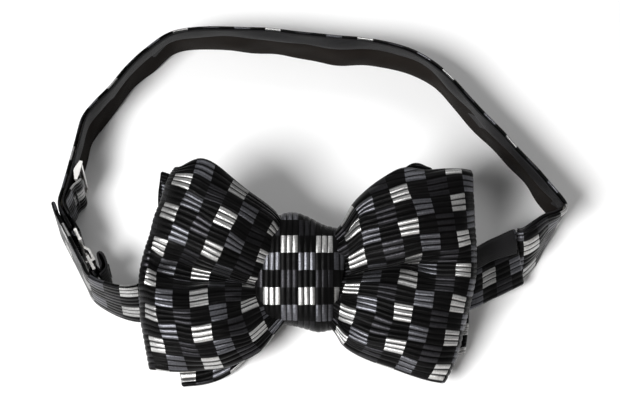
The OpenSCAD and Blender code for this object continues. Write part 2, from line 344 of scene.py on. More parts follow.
def silk(name, dim=1.0, warm=0.0):
    """Ribbed silk: ribs along u, three to a cell; checked cells in white, light, dark and black."""
    m = Nodes(name)
    u, v = m.uv()
    ribi = m.math("FLOOR", m.math("DIVIDE", v, RIB))
    # each rib's cell edges are a little out of line with its neighbours
    jit = m.math("MULTIPLY", m.math("SUBTRACT", m.noise(m.xyz(m.math("MULTIPLY", u, 0.02), ribi), 0.73, 1.0), 0.5), 0.7)
    uj = m.math("ADD", u, jit)
    i = m.math("FLOOR", m.math("DIVIDE", uj, CELL))
    j = m.math("FLOOR", m.math("DIVIDE", v, CELL))
    par = m.math("FLOORED_MODULO", m.math("ADD", i, j), 2.0)
    on = m.math("LESS_THAN", par, 0.5)
    col = m.math("FLOORED_MODULO", i, 3.0)
    is_w = m.math("LESS_THAN", col, 0.5)
    is_d = m.math("GREATER_THAN", col, 1.5)
    ph = m.math("FLOORED_MODULO", m.math("DIVIDE", v, RIB), 1.0)
    wave = m.math("SINE", m.math("MULTIPLY", ph, math.pi))
    ribp = m.math("POWER", m.math("MAXIMUM", wave, 0.0), 0.55)          # 0 in the gap, 1 on the rib
    # fine threads across each rib
    th = m.noise(m.xyz(m.math("MULTIPLY", u, 4.6), m.math("MULTIPLY", v, 0.35)), 1.0, 2.0, 0.65)
    th2 = m.math("SINE", m.math("ADD", m.math("MULTIPLY", u, 21.0), m.math("MULTIPLY", th, 5.0)))
    slub = m.noise(m.xyz(m.math("MULTIPLY", u, 0.16), m.math("MULTIPLY", v, 1.1)), 1.0, 3.0, 0.6)
    grain = m.noise(m.xyz(m.math("MULTIPLY", u, 2.1), m.math("MULTIPLY", v, 1.3)), 1.0, 2.0, 0.6)
    vary = m.math("ADD", 0.06, m.math("ADD", m.math("MULTIPLY", th, 0.50), m.math("ADD", m.math("MULTIPLY", slub, 0.40), m.math("MULTIPLY", grain, 0.98))))
    white = rgb(0.40 * dim, 0.398 * dim, 0.394 * dim)
    light = rgb(0.092 * dim, 0.093 * dim, 0.103 * dim)
    dark = rgb(0.024 * dim, 0.0235 * dim, 0.026 * dim)
    black = rgb(0.0021 * dim, 0.0020 * dim, 0.0021 * dim)
    cellv = m.noise(m.xyz(m.math("MULTIPLY", i, 3.7), m.math("MULTIPLY", j, 5.3)), 1.0, 0.0)
    ribv = m.noise(m.xyz(m.math("MULTIPLY", u, 0.11), m.math("MULTIPLY", ribi, 2.9)), 1.0, 1.0)
    c = m.mix(is_w, m.mix(is_d, light, dark), white)
    c = m.mix(on, black, c)
    # thread to thread variation, random tone from cell to cell and rib to rib, and painted shade: the colour is
    # darkened in the groove between ribs
    vm = m.nt.nodes.new("ShaderNodeVectorMath")
    vm.operation = "SCALE"
    m.nt.links.new(c, vm.inputs[0])
    groove_shade_and_tone = m.math("DIVIDE", m.math("SUBTRACT", wave, 0.13), 0.42, clamp=True)
    groove_shade_and_tone = m.math("ADD", 0.04, m.math("MULTIPLY", groove_shade_and_tone, 0.96))
    groove_shade_and_tone = m.math("MULTIPLY", groove_shade_and_tone, m.math("ADD", -0.12, m.math("ADD", m.math("MULTIPLY", cellv, 1.45), m.math("MULTIPLY", ribv, 0.72))))
    m.put(vm, "Scale", m.math("MULTIPLY", vary, groove_shade_and_tone))
    hgt = m.math("ADD", m.math("MULTIPLY", ribp, 1.0), m.math("MULTIPLY", th2, 0.09))
    hgt = m.math("ADD", hgt, m.math("MULTIPLY", th, 0.12))
    # bright threads are glossier than black ones
    shine = m.mix(on, rgb(0.50, 0.50, 0.50), rgb(0.88, 0.88, 0.88))
    m.set(Base_Color=vm.outputs[0], Metallic=shine, Roughness=m.math("ADD", 0.27, m.math("MULTIPLY", th, 0.14)))
    m.bsdf.inputs["Specular IOR Level"].default_value = 0.08
    m.bsdf.inputs["Sheen Weight"].default_value = 0.03
    m.bump(hgt, 0.42, 0.00035)
    return m.mat


def lining_cloth():
    m = Nodes("lining_twill")
    u, v = m.uv()
    tw = m.math("SINE", m.math("MULTIPLY", m.math("ADD", u, m.math("MULTIPLY", v, 1.6)), 13.0))
    n = m.noise(m.xyz(m.math("MULTIPLY", u, 0.09), m.math("MULTIPLY", v, 0.16)), 1.0, 3.0, 0.55)
    f = m.noise(m.xyz(m.math("MULTIPLY", u, 3.0), m.math("MULTIPLY", v, 3.0)), 1.0, 2.0, 0.6)
    k = m.math("ADD", m.math("MULTIPLY", n, 0.75), m.math("ADD", m.math("MULTIPLY", tw, 0.06), m.math("MULTIPLY", f, 0.25)), clamp=True)
    m.set(Base_Color=m.mix(k, rgb(0.0022, 0.0016, 0.0012), rgb(0.0120, 0.0088, 0.0068)), Roughness=0.9)
    m.bsdf.inputs["Specular IOR Level"].default_value = 0.05
    m.bsdf.inputs["Sheen Weight"].default_value = 0.02
    m.bsdf.inputs["Sheen Roughness"].default_value = 0.5
    m.bump(m.math("ADD", m.math("MULTIPLY", tw, 0.5), f), 0.22, 0.00025)
    return m.mat


def facing_cloth():
    m = Nodes("black_facing")
    u, v = m.uv()
    ph = m.math("SINE", m.math("MULTIPLY", v, 2 * math.pi / 0.63))
    n = m.noise(m.xyz(m.math("MULTIPLY", u, 1.6), m.math("MULTIPLY", v, 4.0)), 1.0, 2.0, 0.6)
    m.set(Base_Color=m.mix(n, rgb(0.0022, 0.0022, 0.0026), rgb(0.0075, 0.0072, 0.008)), Roughness=m.math("ADD", 0.42, m.math("MULTIPLY", n, 0.2)))
    m.bsdf.inputs["Specular IOR Level"].default_value = 0.2
    m.bump(m.math("ADD", ph, n), 0.2, 0.0002)
    return m.mat


def wool():
    m = Nodes("interlining_wool")
    u, v = m.uv()
    a = m.math("SINE", m.math("MULTIPLY", u, 7.5))
    b = m.math("SINE", m.math("MULTIPLY", v, 7.5))
    n = m.noise(m.xyz(u, v), 1.7, 3.0, 0.6)
    m.set(Base_Color=m.mix(n, rgb(0.50, 0.47, 0.40), rgb(0.74, 0.71, 0.63)), Roughness=0.95)
    m.bump(m.math("ADD", m.math("MULTIPLY", a, b), n), 0.5, 0.0003)
    return m.mat


def thread_mat():
    m = Nodes("black_thread")
    tc = m.nt.nodes.new("ShaderNodeTexCoord")
    n = m.noise(tc.outputs["Object"], 2600.0, 2.0, 0.6)
    m.set(Base_Color=m.mix(n, rgb(0.004, 0.004, 0.0045), rgb(0.022, 0.022, 0.024)), Roughness=0.5)
    m.bump(n, 0.5, 0.0001)
    return m.mat


def nickel():
    m = Nodes("bright_nickel")
    tc = m.nt.nodes.new("ShaderNodeTexCoord")
    n = m.noise(tc.outputs["Object"], 240.0, 3.0, 0.6)
    s = m.noise(tc.outputs["Object"], 1900.0, 2.0, 0.5)
    m.set(Base_Color=m.mix(n, rgb(0.88, 0.86, 0.83), rgb(0.97, 0.96, 0.94)), Metallic=m.math("ADD", 0.78, m.math("MULTIPLY", n, 0.1)),
          Roughness=m.math("ADD", 0.24, m.math("MULTIPLY", n, 0.18)))
    m.bump(m.math("ADD", m.math("MULTIPLY", n, 0.6), m.math("MULTIPLY", s, 0.4)), 0.12, 0.0001)
    return m.mat


SILK, LINING, FACING, WOOL, THREAD, NICKEL = silk("check_silk"), lining_cloth(), facing_cloth(), wool(), thread_mat(), nickel()


def keep(o, body=ROOT, replaces=(), area=None, blend=None):
    if blend:
        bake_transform(o)
    else:
        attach(o, body)
    if replaces:
        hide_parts(*replaces)
    return o


# ---------------------------------------------------------------- left front wing: a folded loop
# Columns go from the outer rim (c0) inwards, rows from the upper edge (r0) to the lower edge (r13), one cloth cell apart.
LF = [
    [(-39.5, 34), (-40.8, 32), (-42.3, 28.5), (-44, 23), (-46, 18), (-47.5, 12), (-49, 7.5), (-50.5, 1.5), (-51, -4), (-50.5, -10), (-50.5, -15), (-49.5, -20.5), (-48.5, -26), (-47.5, -31.5)],
    [(-33.8, 36.8), (-34.8, 32), (-36.5, 26.5), (-39, 21.5), (-41, 16), (-43, 10.5), (-45.5, 5), (-48, 0), (-47.5, -5.5), (-47, -11), (-46, -16.5), (-44.5, -21.5), (-43.5, -26.5), (-43, -32)],
    [(-28.5, 35), (-29.5, 29), (-31.5, 23.5), (-33, 19), (-36, 13.5), (-37.5, 8.5), (-40.5, 4), (-42, -1.5), (-42, -6), (-41.5, -12), (-40.5, -16.5), (-39.5, -22), (-38, -27), (-37, -32)],
    [(-22.5, 30), (-24, 26), (-26, 21.5), (-28.5, 16), (-30.5, 11), (-32.5, 6), (-35.5, 2), (-36.5, -2.5), (-36.5, -6.5), (-36, -12), (-35.5, -17.5), (-34.5, -23), (-32.5, -27.5), (-31.5, -31.5)],
    [(-17.5, 26), (-19, 23), (-20.5, 18.5), (-23, 13.5), (-25, 8.5), (-27.5, 3.5), (-29.5, 0.5), (-30.5, -3), (-30.5, -5.5), (-30, -11), (-29, -16.5), (-28.5, -22), (-27, -27), (-25.5, -31)],
    [(-12.5, 22.5), (-14, 20), (-16, 15.5), (-18.5, 10), (-20, 6), (-22, 1.5), (-23.5, -1.5), (-25, -3.5), (-25, -5.5), (-24.5, -10), (-24, -15.5), (-23, -21), (-21.5, -25), (-19, -28.5)],
    [(-8.5, 19), (-9.5, 17), (-11.5, 13), (-13.5, 8), (-15, 3.5), (-16.5, -1), (-18, -3), (-19.5, -4), (-19.5, -5.5), (-20, -9.5), (-19.5, -14), (-17.5, -20), (-16, -23), (-13.5, -25.5)],
    [(-5.5, 14.5), (-6.5, 13), (-8, 10), (-9.5, 6), (-10.5, 2), (-12, -2), (-13, -4), (-14, -5), (-14.5, -6), (-15, -8), (-14, -11.5), (-12.5, -16), (-11, -19), (-9.5, -20.5)],
    [(-1.5, 10), (-2, 9), (-3, 7), (-4, 4), (-5, 1), (-6, -2), (-7, -3.5), (-7.5, -4.5), (-8, -5.5), (-8, -7), (-7.5, -9.5), (-6.5, -12), (-5.5, -13.5), (-4.5, -14.5)],
]
LF_BASE = [6.0, 7.0, 6.6, 6.0, 5.2, 4.2, 3.2, 2.0, 1.2]
LF_UP = [1.6, 4.2, 6.2, 7.2, 7.2, 6.4, 4.8, 2.8, 1.6]
LF_LOW = [1.0, 3.2, 5.0, 6.2, 6.6, 6.2, 4.8, 2.8, 1.4]
LF_VAL = [0.5, 3.8, 7.4, 8.2, 7.4, 6.0, 4.2, 1.9, 0.8]
LF_EDGE = [1.0, 2.0, 2.6, 2.8, 2.6, 2.2, 1.8, 1.2, 0.6]


def gathers(S, cols, rows, weight, amp, seed, low):
    """Pleats that fan out of the knot, and slight creases, added to the height of a front wing."""
    c, r = np.meshgrid(cols, rows, indexing="ij")
    w = weight[:, None]
    fan = np.sin(2 * math.pi * r / 2.35 + 1.1 * np.sin(0.8 * c + seed)) + 0.5 * np.sin(2 * math.pi * r / 1.45 + 0.9 * c)
    crease = 0.30 * noise1(c * 1.3 + 0.35 * r, seed, 1.5) + 0.26 * noise1(r * 0.9 - 0.5 * c, seed + 3, 1.1)
    h = S[..., 2] + amp * w * fan + crease * np.minimum(1, np.minimum(rows, rows[-1] - rows) / 1.2)[None]
    h = np.where(low > -50, low + np.logaddexp(0, (h - low) * 2.2) / 2.2, h)
    out = S.copy()
    out[..., 2] = h
    return out


def sampled(S, cols, rows, at_cols, at_rows):
    """The same surface taken at fewer columns and rows, for the interlining inside it."""
    out = np.empty((len(at_cols), len(at_rows), 3))
    for k in range(3):
        along = np.array([np.interp(at_rows, rows, line) for line in S[..., k]])
        out[..., k] = np.array([np.interp(at_cols, cols, line) for line in along.T]).T
    return out


def lobe(r, c, w):
    x = np.clip(np.abs(np.asarray(r, float) - c) / w, 0, 1)
    return (1 - x * x) ** 1.2


def front_heights(base, up, low, val, edge, cu, wu, cl, wl, cv, wv):
    r = np.arange(14.0)
    out = []
    for k in range(len(base)):
        h = base[k] + up[k] * lobe(r, cu, wu) + low[k] * lobe(r, cl, wl) - val[k] * np.exp(-((r - cv) / wv) ** 2)
        h -= edge[k] * (np.exp(-(r / 0.8) ** 2) + np.exp(-((13 - r) / 0.8) ** 2))
        out.append(h)
    return np.array(out)


lf_h = front_heights(LF_BASE, LF_UP, LF_LOW, LF_VAL, LF_EDGE, 2.9, 4.2, 10.2, 3.9, 6.7, 1.05)
lf = np.concatenate([np.array(LF, float), lf_h[..., None]], 2)            # 9 x 14 x 3
# rim and the layer behind, going back to the knot
rim = lf[0].copy()
rim[:, 0] -= 1.9
rim[:, 2] = lf_h[0] * 0.35 + 1.9
back = []
for k in range(1, 9):
    f = k / 8.0
    row = []
    for r in range(14):
        tt = 1 - 2 * r / 13.0
        s0, t0 = lf[0][r][0], lf[0][r][1]
        s = s0 * (1 - f) + (-5.0) * f
        t = t0 * (1 - f) ** 0.85 + (tt * 12.5 - 1.0) * (1 - (1 - f) ** 0.85)
        h = 1.5 * (1 - f) + 0.9 * f + 0.35 * math.sin(2.2 * tt + 3 * f)
        row.append((s, t, h))
    back.append(row)
back0 = rim.copy()
back0[:, 0] += 1.3
back0[:, 2] = 1.7
loop_net = np.concatenate([np.array(back)[::-1], back0[None], rim[None], lf], 0)   # 8+1+1+9 = 19 columns
# index position of each column in cloth cells, from the rim
col_u = np.concatenate([-(np.arange(8, 0, -1) + 0.75), [-0.78], [-0.36], np.arange(9)]) * CELL
v_rows = rib_rows(0, 13 * CELL)
ti = np.concatenate([np.arange(0, 9, 0.16), np.arange(9, 10.999, 0.2), np.arange(11, 18.001, 0.16)])
ti = np.clip(ti, 0, 18)
S = relax(net(loop_net, ti, v_rows / CELL), 2)
fw = np.clip((ti - 11) / 7.0, 0, 1) ** 1.5
low = np.where(ti > 10.6, 2.9, -99.0)[:, None] + 0 * S[..., 2]
S = np.where((ti > 10.0)[:, None, None], gathers(S, ti, v_rows / CELL, fw, 0.75, 5, low), S)
S = relax(S, 1)
wad = np.arange(0, 18.01, 0.25)
S2 = bow_points(sampled(S, ti, v_rows / CELL, wad, np.linspace(0.5, 12.5, 60)))
S = bow_points(S)
U = np.interp(ti, np.arange(19), col_u)
front_loop = cloth("front_loop_silk", S, U, v_rows + CELL, 1.6, SILK, amp=0.20)
keep(front_loop, replaces=["front_loop"])
o = cloth("front_loop_wadding", S2, np.interp(wad, np.arange(19), col_u), np.linspace(3, 71, 60), 0.4, WOOL, amp=0)
keep(o, replaces=["front_loop_interlining"])

# ---------------------------------------------------------------- right front wing: a flat blade end
# Columns go from under the knot outwards; the last is the sewn end.
RF_COLS = [
    [(7.5, 8), (7.5, 7.5), (8, 6.5), (8, 5), (8.5, 3), (8.5, 0.5), (8.5, -0.5), (8.5, -2), (8, -3), (8, -5), (7.5, -7), (7, -10), (6.5, -12), (6, -13)],
    [(14, 15), (14.5, 14), (15, 12.5), (15.5, 9.5), (16, 5.5), (16.5, 1), (16, -0.5), (15.5, -2), (15, -4), (14, -7), (13.5, -10.5), (13, -15.5), (12.5, -17.5), (12, -19.5)],
    [(17.5, 21.5), (18.5, 20.5), (19.5, 18), (20, 13.5), (21, 8.5), (22, 3), (21.5, 1), (21, -1), (20, -4), (19, -7.5), (18.5, -12), (17, -17.5), (16, -21), (14.5, -23.5)],
    [(22.5, 26.5), (23.5, 24.5), (24.5, 20), (25.5, 15), (26.5, 10), (28, 4), (27.5, 1.5), (27, 0), (26, -4), (25, -8.5), (24.5, -13.5), (22.5, -20), (21.5, -23.5), (19, -26.5)],
    [(28, 30.5), (29, 26.5), (30.5, 22), (31.5, 16.5), (33, 11.5), (34, 5.5), (33.5, 3), (33, 0.5), (31.5, -4.5), (30.5, -10), (30, -15.5), (28, -21), (27, -25), (25, -29)],
    [(34, 33.5), (34.5, 28.5), (36, 23.5), (38, 18), (38.5, 12.5), (39.5, 7), (39, 3), (38.5, -0.5), (37.5, -6), (36.5, -11), (35.5, -16.5), (34.5, -22), (33, -26.5), (31, -31)],
    [(40.5, 32.5), (41, 29.5), (42, 24), (43.5, 19), (45, 13), (45.5, 7.5), (45, 3), (44.5, -1.5), (43.5, -6.5), (42.5, -12), (41.5, -18), (40, -23), (38, -28.5), (36, -32.8)],
    [(47.5, 33), (47.5, 31), (48.5, 25), (49.5, 19.5), (50.5, 13.5), (51.5, 8), (51, 3), (50.5, -1.5), (49.5, -7), (48, -13), (47, -18.5), (46, -24), (44, -29.5), (41.5, -34.5)],
    [(52.5, 33), (52.5, 31.5), (53, 26), (53.5, 20), (54, 14), (55, 9), (55.4, 3), (55, -2), (53.6, -8), (52.4, -13.5), (51.3, -19), (50.2, -24), (48.6, -29.5), (46, -35.4)],
    [(55.6, 32.6), (55.8, 31), (55.8, 26), (56.1, 20.5), (56.3, 14.5), (56.7, 9), (56.8, 3), (56.5, -2), (55.2, -8), (53.9, -13.5), (52.5, -19), (51.3, -24.5), (49.4, -30), (46.6, -35.6)],
]
RF_TOPV = [0.9, 0.9, 0.85, 0.65, 0.35, 0.05, 0.45, 0.62, 0.62, 0.65]            # cloth row of the upper edge in each column
RF_U = [-1.2, 0.0, 1.0, 2.0, 3.0, 4.0, 5.0, 6.0, 7.0, 7.55]
RF_BASE = [1.5, 2.6, 4.2, 5.4, 6.3, 7.0, 7.5, 7.7, 7.3, 6.0]
RF_UP = [1.2, 2.8, 4.6, 5.6, 5.6, 4.8, 3.6, 2.4, 1.4, 0.6]
RF_LOW = [1.2, 2.6, 4.2, 5.2, 5.4, 4.8, 3.8, 2.6, 1.5, 0.7]
RF_VAL = [0.6, 2.2, 5.2, 7.0, 6.8, 5.0, 2.6, 1.0, 0.4, 0.2]
RF_EDGE = [0.3, 0.8, 1.6, 2.2, 2.4, 2.2, 1.9, 1.7, 1.5, 1.2]
rf_h = front_heights(RF_BASE, RF_UP, RF_LOW, RF_VAL, RF_EDGE, 3.0, 4.0, 10.0, 4.0, 6.2, 0.9)
rf = np.concatenate([np.array(RF_COLS, float), rf_h[..., None]], 2)
ti = np.append(np.arange(0, 8.95, 0.155), 9.0)
rows = rib_rows(CELL, 13 * CELL)
tv = np.concatenate([np.linspace(0, 0.86, 5), rows / CELL])
S = relax(net(rf, ti, tv), 2)
fw = np.clip(1 - (ti - 1) / 4.8, 0, 1) ** 1.5
S = gathers(S, ti, tv, fw, 0.75, 11, np.full(S.shape[:2], 1.9))
S = relax(S, 1)
tiw = np.arange(0, 8.61, 0.25)
S2 = bow_points(sampled(S, ti, tv, tiw, np.linspace(0.6, 12.4, 60)))
S = bow_points(S)
topv = np.interp(ti, np.arange(10), RF_TOPV)
Vg = np.where(tv[None, :] < 1, (topv[:, None] + (1 - topv[:, None]) * tv[None, :]), tv[None, :]) * CELL
Ug = np.interp(ti, np.arange(10), RF_U)[:, None] * CELL + np.zeros_like(Vg)
Ug[-1] -= 0.0
front_end = cloth("front_end_silk", S, Ug, Vg, 2.2, SILK, ends=(False, True))
keep(front_end, replaces=["front_end"])
o = cloth("front_end_wadding", S2, tiw * CELL, np.linspace(3, 71, 60), 0.5, WOOL, amp=0)
keep(o, replaces=["front_end_interlining"])


# ---------------------------------------------------------------- back wings
def smooth_net(cols, nrow, rows_t):
    """Columns given as a few listed points (s, t, h), filled in to nrow rows."""
    out = []
    for c in cols:
        c = np.array(c, float)
        out.append(cr_weights(len(c), np.linspace(0, len(c) - 1, nrow)) @ c)
    return np.array(out)


BACK_END = [
    [(-6, 10, -2.6), (-7, 5, -2.5), (-7.5, -2, -2.5), (-7, -9, -2.6), (-6, -13, -2.8)],
    [(-14, 18, -2.4), (-16, 9, -1.9), (-16.5, -1, -2.2), (-15.5, -12, -2.0), (-12.5, -20.5, -2.6)],
    [(-24, 24, -2.0), (-26, 12, -1.5), (-27, -2, -2.0), (-26, -17, -1.5), (-22, -32, -2.3)],
    [(-35, 28.8, -1.8), (-36.5, 16, -1.4), (-37, -2, -1.8), (-35, -20, -1.5), (-31, -36.6, -2.0)],
    [(-46.2, 32.6, -1.6), (-47, 21, -1.5), (-44, 0, -1.8), (-41.8, -20, -1.8), (-38.9, -37.8, -1.9)],
]
ng = smooth_net(BACK_END, 14, None)
ti = np.append(np.arange(0, 3.96, 0.085), 4.0)
tv = rib_rows(0, 13 * CELL) / CELL
S = bow_points(relax(net(ng, ti, tv), 2))
Sb = relax(net(ng, ti, tv), 2)
S[..., 2] = np.maximum(S[..., 2], 1.35)
o = cloth("back_end_silk", S, 1.95 * CELL - (Sb[..., 0] + 46.2), (tv + 0.05) * CELL, 1.8, SILK, ends=(False, True))
keep(o, replaces=["back_end"])
tiw = np.arange(0, 3.9, 0.3)
o = cloth("back_end_wadding", bow_points(relax(net(ng, tiw, np.linspace(0.7, 12.3, 30)), 1)), tiw * 10, np.linspace(3, 71, 30), 0.5, WOOL, amp=0)
keep(o, replaces=["back_end_interlining"])

BACK_LOOP = [
    [(6, 8, -1.4), (7, 4, -1.3), (7.5, -2, -1.3), (7, -9, -1.4), (6, -13, -1.5)],
    [(15, 16, -1.3), (17, 8, -0.9), (17.5, -2, -1.2), (16, -12, -1.0), (13, -19, -1.4)],
    [(26, 26, -1.0), (28, 12, -0.5), (29, -2, -1.0), (27, -16, -0.7), (22, -27, -1.2)],
    [(36.5, 35.4, -0.8), (39, 18, -0.3), (41, 0, -0.8), (40, -16, -0.5), (38, -31, -1.1)],
    [(42.6, 34.6, -1.4), (48.5, 18, -0.9), (53, 2, -0.8), (54.4, -14, -0.8), (53, -27, -1.2)],
    [(43.4, 34.0, -2.3), (49.5, 18, -2.2), (54, 2, -2.2), (55.2, -14, -2.2), (54, -27.2, -2.3)],
    [(42.0, 33.6, -3.2), (48, 18, -3.4), (52.6, 2, -3.5), (53.8, -14, -3.4), (52.4, -26.8, -3.3)],
    [(34, 31, -3.4), (37, 16, -3.6), (38, 0, -3.6), (38, -16, -3.6), (36, -28, -3.4)],
    [(20, 20, -3.5), (22, 10, -3.7), (22, -2, -3.7), (21, -13, -3.7), (18, -22, -3.6)],
    [(7, 9, -3.7), (8, 4, -3.8), (8, -2, -3.8), (8, -8, -3.8), (7, -12, -3.8)],
]
ng2 = smooth_net(BACK_LOOP, 14, None)
ti = np.concatenate([np.arange(0, 4, 0.09), np.arange(4, 6, 0.2), np.arange(6, 9.001, 0.08)])
ti = np.clip(ti, 0, 9)
S = bow_points(relax(net(ng2, ti, tv), 2))
uu = np.interp(ti, np.arange(10), [0, 10, 23, 35, 44, 46, 48, 62, 78, 93])
o = cloth("back_loop_silk", S, uu + 1.5 * CELL, (tv + 0.5) * CELL, 1.1, SILK, amp=0.12)
keep(o, replaces=["back_loop"])
tiw = np.arange(0, 9.01, 0.5)
o = cloth("back_loop_wadding", bow_points(relax(net(ng2, tiw, np.linspace(0.7, 12.3, 30)), 1)), np.interp(tiw, np.arange(10), [0, 10, 23, 35, 44, 46, 48, 62, 78, 93]), np.linspace(3, 71, 30), 0.4, WOOL, amp=0)
keep(o, replaces=["back_loop_interlining"])


# ---------------------------------------------------------------- pleated waists inside the knot
def waist(name, node, t0, t1, hmid, pleats, amp):
    ti = np.linspace(-13.0, 13.0, 27)
    tv = np.linspace(0, 1, 90)
    S = np.zeros((27, 90, 3))
    for a, s in enumerate(ti):
        pinch = 1 - 0.12 * math.cos(s / 13 * math.pi / 2)
        S[a, :, 0] = s
        S[a, :, 1] = (t0 + (t1 - t0) * tv) * pinch
        S[a, :, 2] = hmid + amp * np.sin(tv * pleats * 2 * math.pi + 0.4 * math.sin(s / 6))
    o = cloth(name, bow_points(S), ti, tv * 60, 0.9, SILK, amp=0.0)
    keep(o, replaces=[node])


waist("front_waist_silk", "front_waist", -9.5, 9.5, 3.6, 4, 1.2)
waist("back_waist_silk", "back_waist", -11, 11, -3.2, 4, 0.9)

# ---------------------------------------------------------------- knot
KL = [(-8.0, 21), (-7.4, 19), (-9.2, 17), (-10.6, 13.5), (-11.8, 9), (-12.6, 6), (-13.6, 2), (-14.6, -5), (-14.2, -11.5), (-13.2, -14), (-12.2, -16), (-12, -20)]
KR = [(14.2, 21), (14.2, 13.5), (14.4, 8), (13.4, 0.5), (11.6, -9), (10.4, -18.5), (10.2, -21)]
kl = np.array(sorted(KL, key=lambda p: p[1]))
kr = np.array(sorted(KR, key=lambda p: p[1]))
wv = rib_rows(-8.2, 21.2)
w01 = (wv - wv[0]) / (wv[-1] - wv[0])
nth = 128
th = np.linspace(0, 2 * math.pi, nth, endpoint=False)
ttop = np.interp(w01, [0, 0.14, 0.3, 0.5, 0.75, 1], [17.5, 19.2, 18.9, 17.4, 14.6, 13.4])
tbot = np.interp(w01, [0, 0.12, 0.4, 0.6, 0.8, 1], [-14.5, -16.4, -17.2, -18.3, -19.6, -18.6])
ker = np.ones(9) / 9
ttop = np.convolve(np.pad(ttop, 4, mode="edge"), ker, "valid")
tbot = np.convolve(np.pad(tbot, 4, mode="edge"), ker, "valid")
S = np.zeros((nth, len(wv), 3))
for b, w in enumerate(w01):
    tc, T = (ttop[b] + tbot[b]) / 2, (ttop[b] - tbot[b]) / 2
    ct, st = np.cos(th), np.sin(th)
    t = tc + T * np.sign(ct) * np.abs(ct) ** 0.92
    hf = 8.6 - 2.6 * abs(2 * w - 1) ** 4.0 - 0.5 * (1 - w)
    h = np.where(st > 0, -0.4 + hf * np.abs(st) ** 0.86, -0.4 - 8.0 * np.abs(st) ** 0.86)
    xl = np.interp(t, kl[:, 1], kl[:, 0])
    xr = np.interp(t, kr[:, 1], kr[:, 0])
    S[:, b, 0] = xl + (xr - xl) * w
    S[:, b, 1] = t
    S[:, b, 2] = h
S = relax(S, 2)
# cloth coordinates: ribs stay parallel, and run round the knot
front_mask = np.sin(th) > -0.2
Vk = S[:, :, 0] + 6.6
arcs = np.concatenate([np.zeros((1, len(wv))), np.cumsum(np.linalg.norm(np.diff(S, axis=0), axis=2), 0)])
Uk = np.zeros((nth, len(wv)))
for b in range(len(wv)):
    fr = slice(2, nth // 2 - 2)                     # the front, from the top down
    Uk[:, b] = arcs[:, b] - np.interp(-7.0, -S[fr, b, 1], arcs[fr, b])
Uk = Uk + 4.9
knot = cloth("knot_silk", bow_points(S), Uk, Vk, 1.5, SILK, closed=True, amp=0.24, edge=1.0)
keep(knot, replaces=["knot_wrap"])
Sk = S[:, 3:-3:3]
o = cloth("knot_wadding", bow_points(Sk), Uk[:, 3:-3:3], Vk[:, 3:-3:3], 0.5, WOOL, closed=True, amp=0)
keep(o, replaces=["knot_interlining"])


# ---------------------------------------------------------------- straps
def station_grid(route, step, v, level=True, offset=0.0, wob=0.0, seed=1, f0=0.0, f1=1.0, calm=None):
    """Grid of points along a strap between its lower and upper edges, v from 0 to 1 across it."""
    R = np.array([[np.asarray(a, float), np.asarray(b, float)] for a, b in route])
    mid = R.mean(1)
    L = np.concatenate([[0], np.cumsum(np.linalg.norm(np.diff(mid, axis=0), axis=1))])
    n = max(4, int(L[-1] * (f1 - f0) / step))
    # even steps along the strap
    tt = np.linspace(0, len(R) - 1, 60 * len(R))
    dense = cr_weights(len(R), tt) @ mid
    dl = np.concatenate([[0], np.cumsum(np.linalg.norm(np.diff(dense, axis=0), axis=1))])
    want = np.linspace(dl[-1] * f0, dl[-1] * f1, n)
    ti = np.interp(want, dl, tt)
    W = cr_weights(len(R), ti)
    lo, hi = W @ R[:, 0], W @ R[:, 1]
    S = lo[:, None] * (1 - v)[None, :, None] + hi[:, None] * v[None, :, None]
    tan = np.gradient((lo + hi) / 2, axis=0)
    w = np.tile([0, 0, 1.0], (n, 1)) if level else hi - lo
    nrm = np.cross(tan, w)
    nrm /= np.linalg.norm(nrm, axis=1, keepdims=True)
    off = offset + 0 * want
    S = S + nrm[:, None] * off[:, None, None]
    if wob:
        bend = wob * ((0.7 * noise1(want, seed, 16.0) + 0.45 * noise1(want, seed + 9, 6.5))[:, None] * (1.0 - 0.78 * v)[None] + 0.35 * noise1(want, seed + 5, 9.0)[:, None] * np.sin(2 * math.pi * v + 0.6)[None])
        if calm:                                    # steadier near the hardware
            bend = bend * (0.12 + 0.88 * np.clip((calm[0] - want) / calm[1], 0, 1) * np.clip(want / 10.0, 0, 1))[:, None]
        S = S + nrm[:, None] * bend[..., None]
    return S, want, nrm


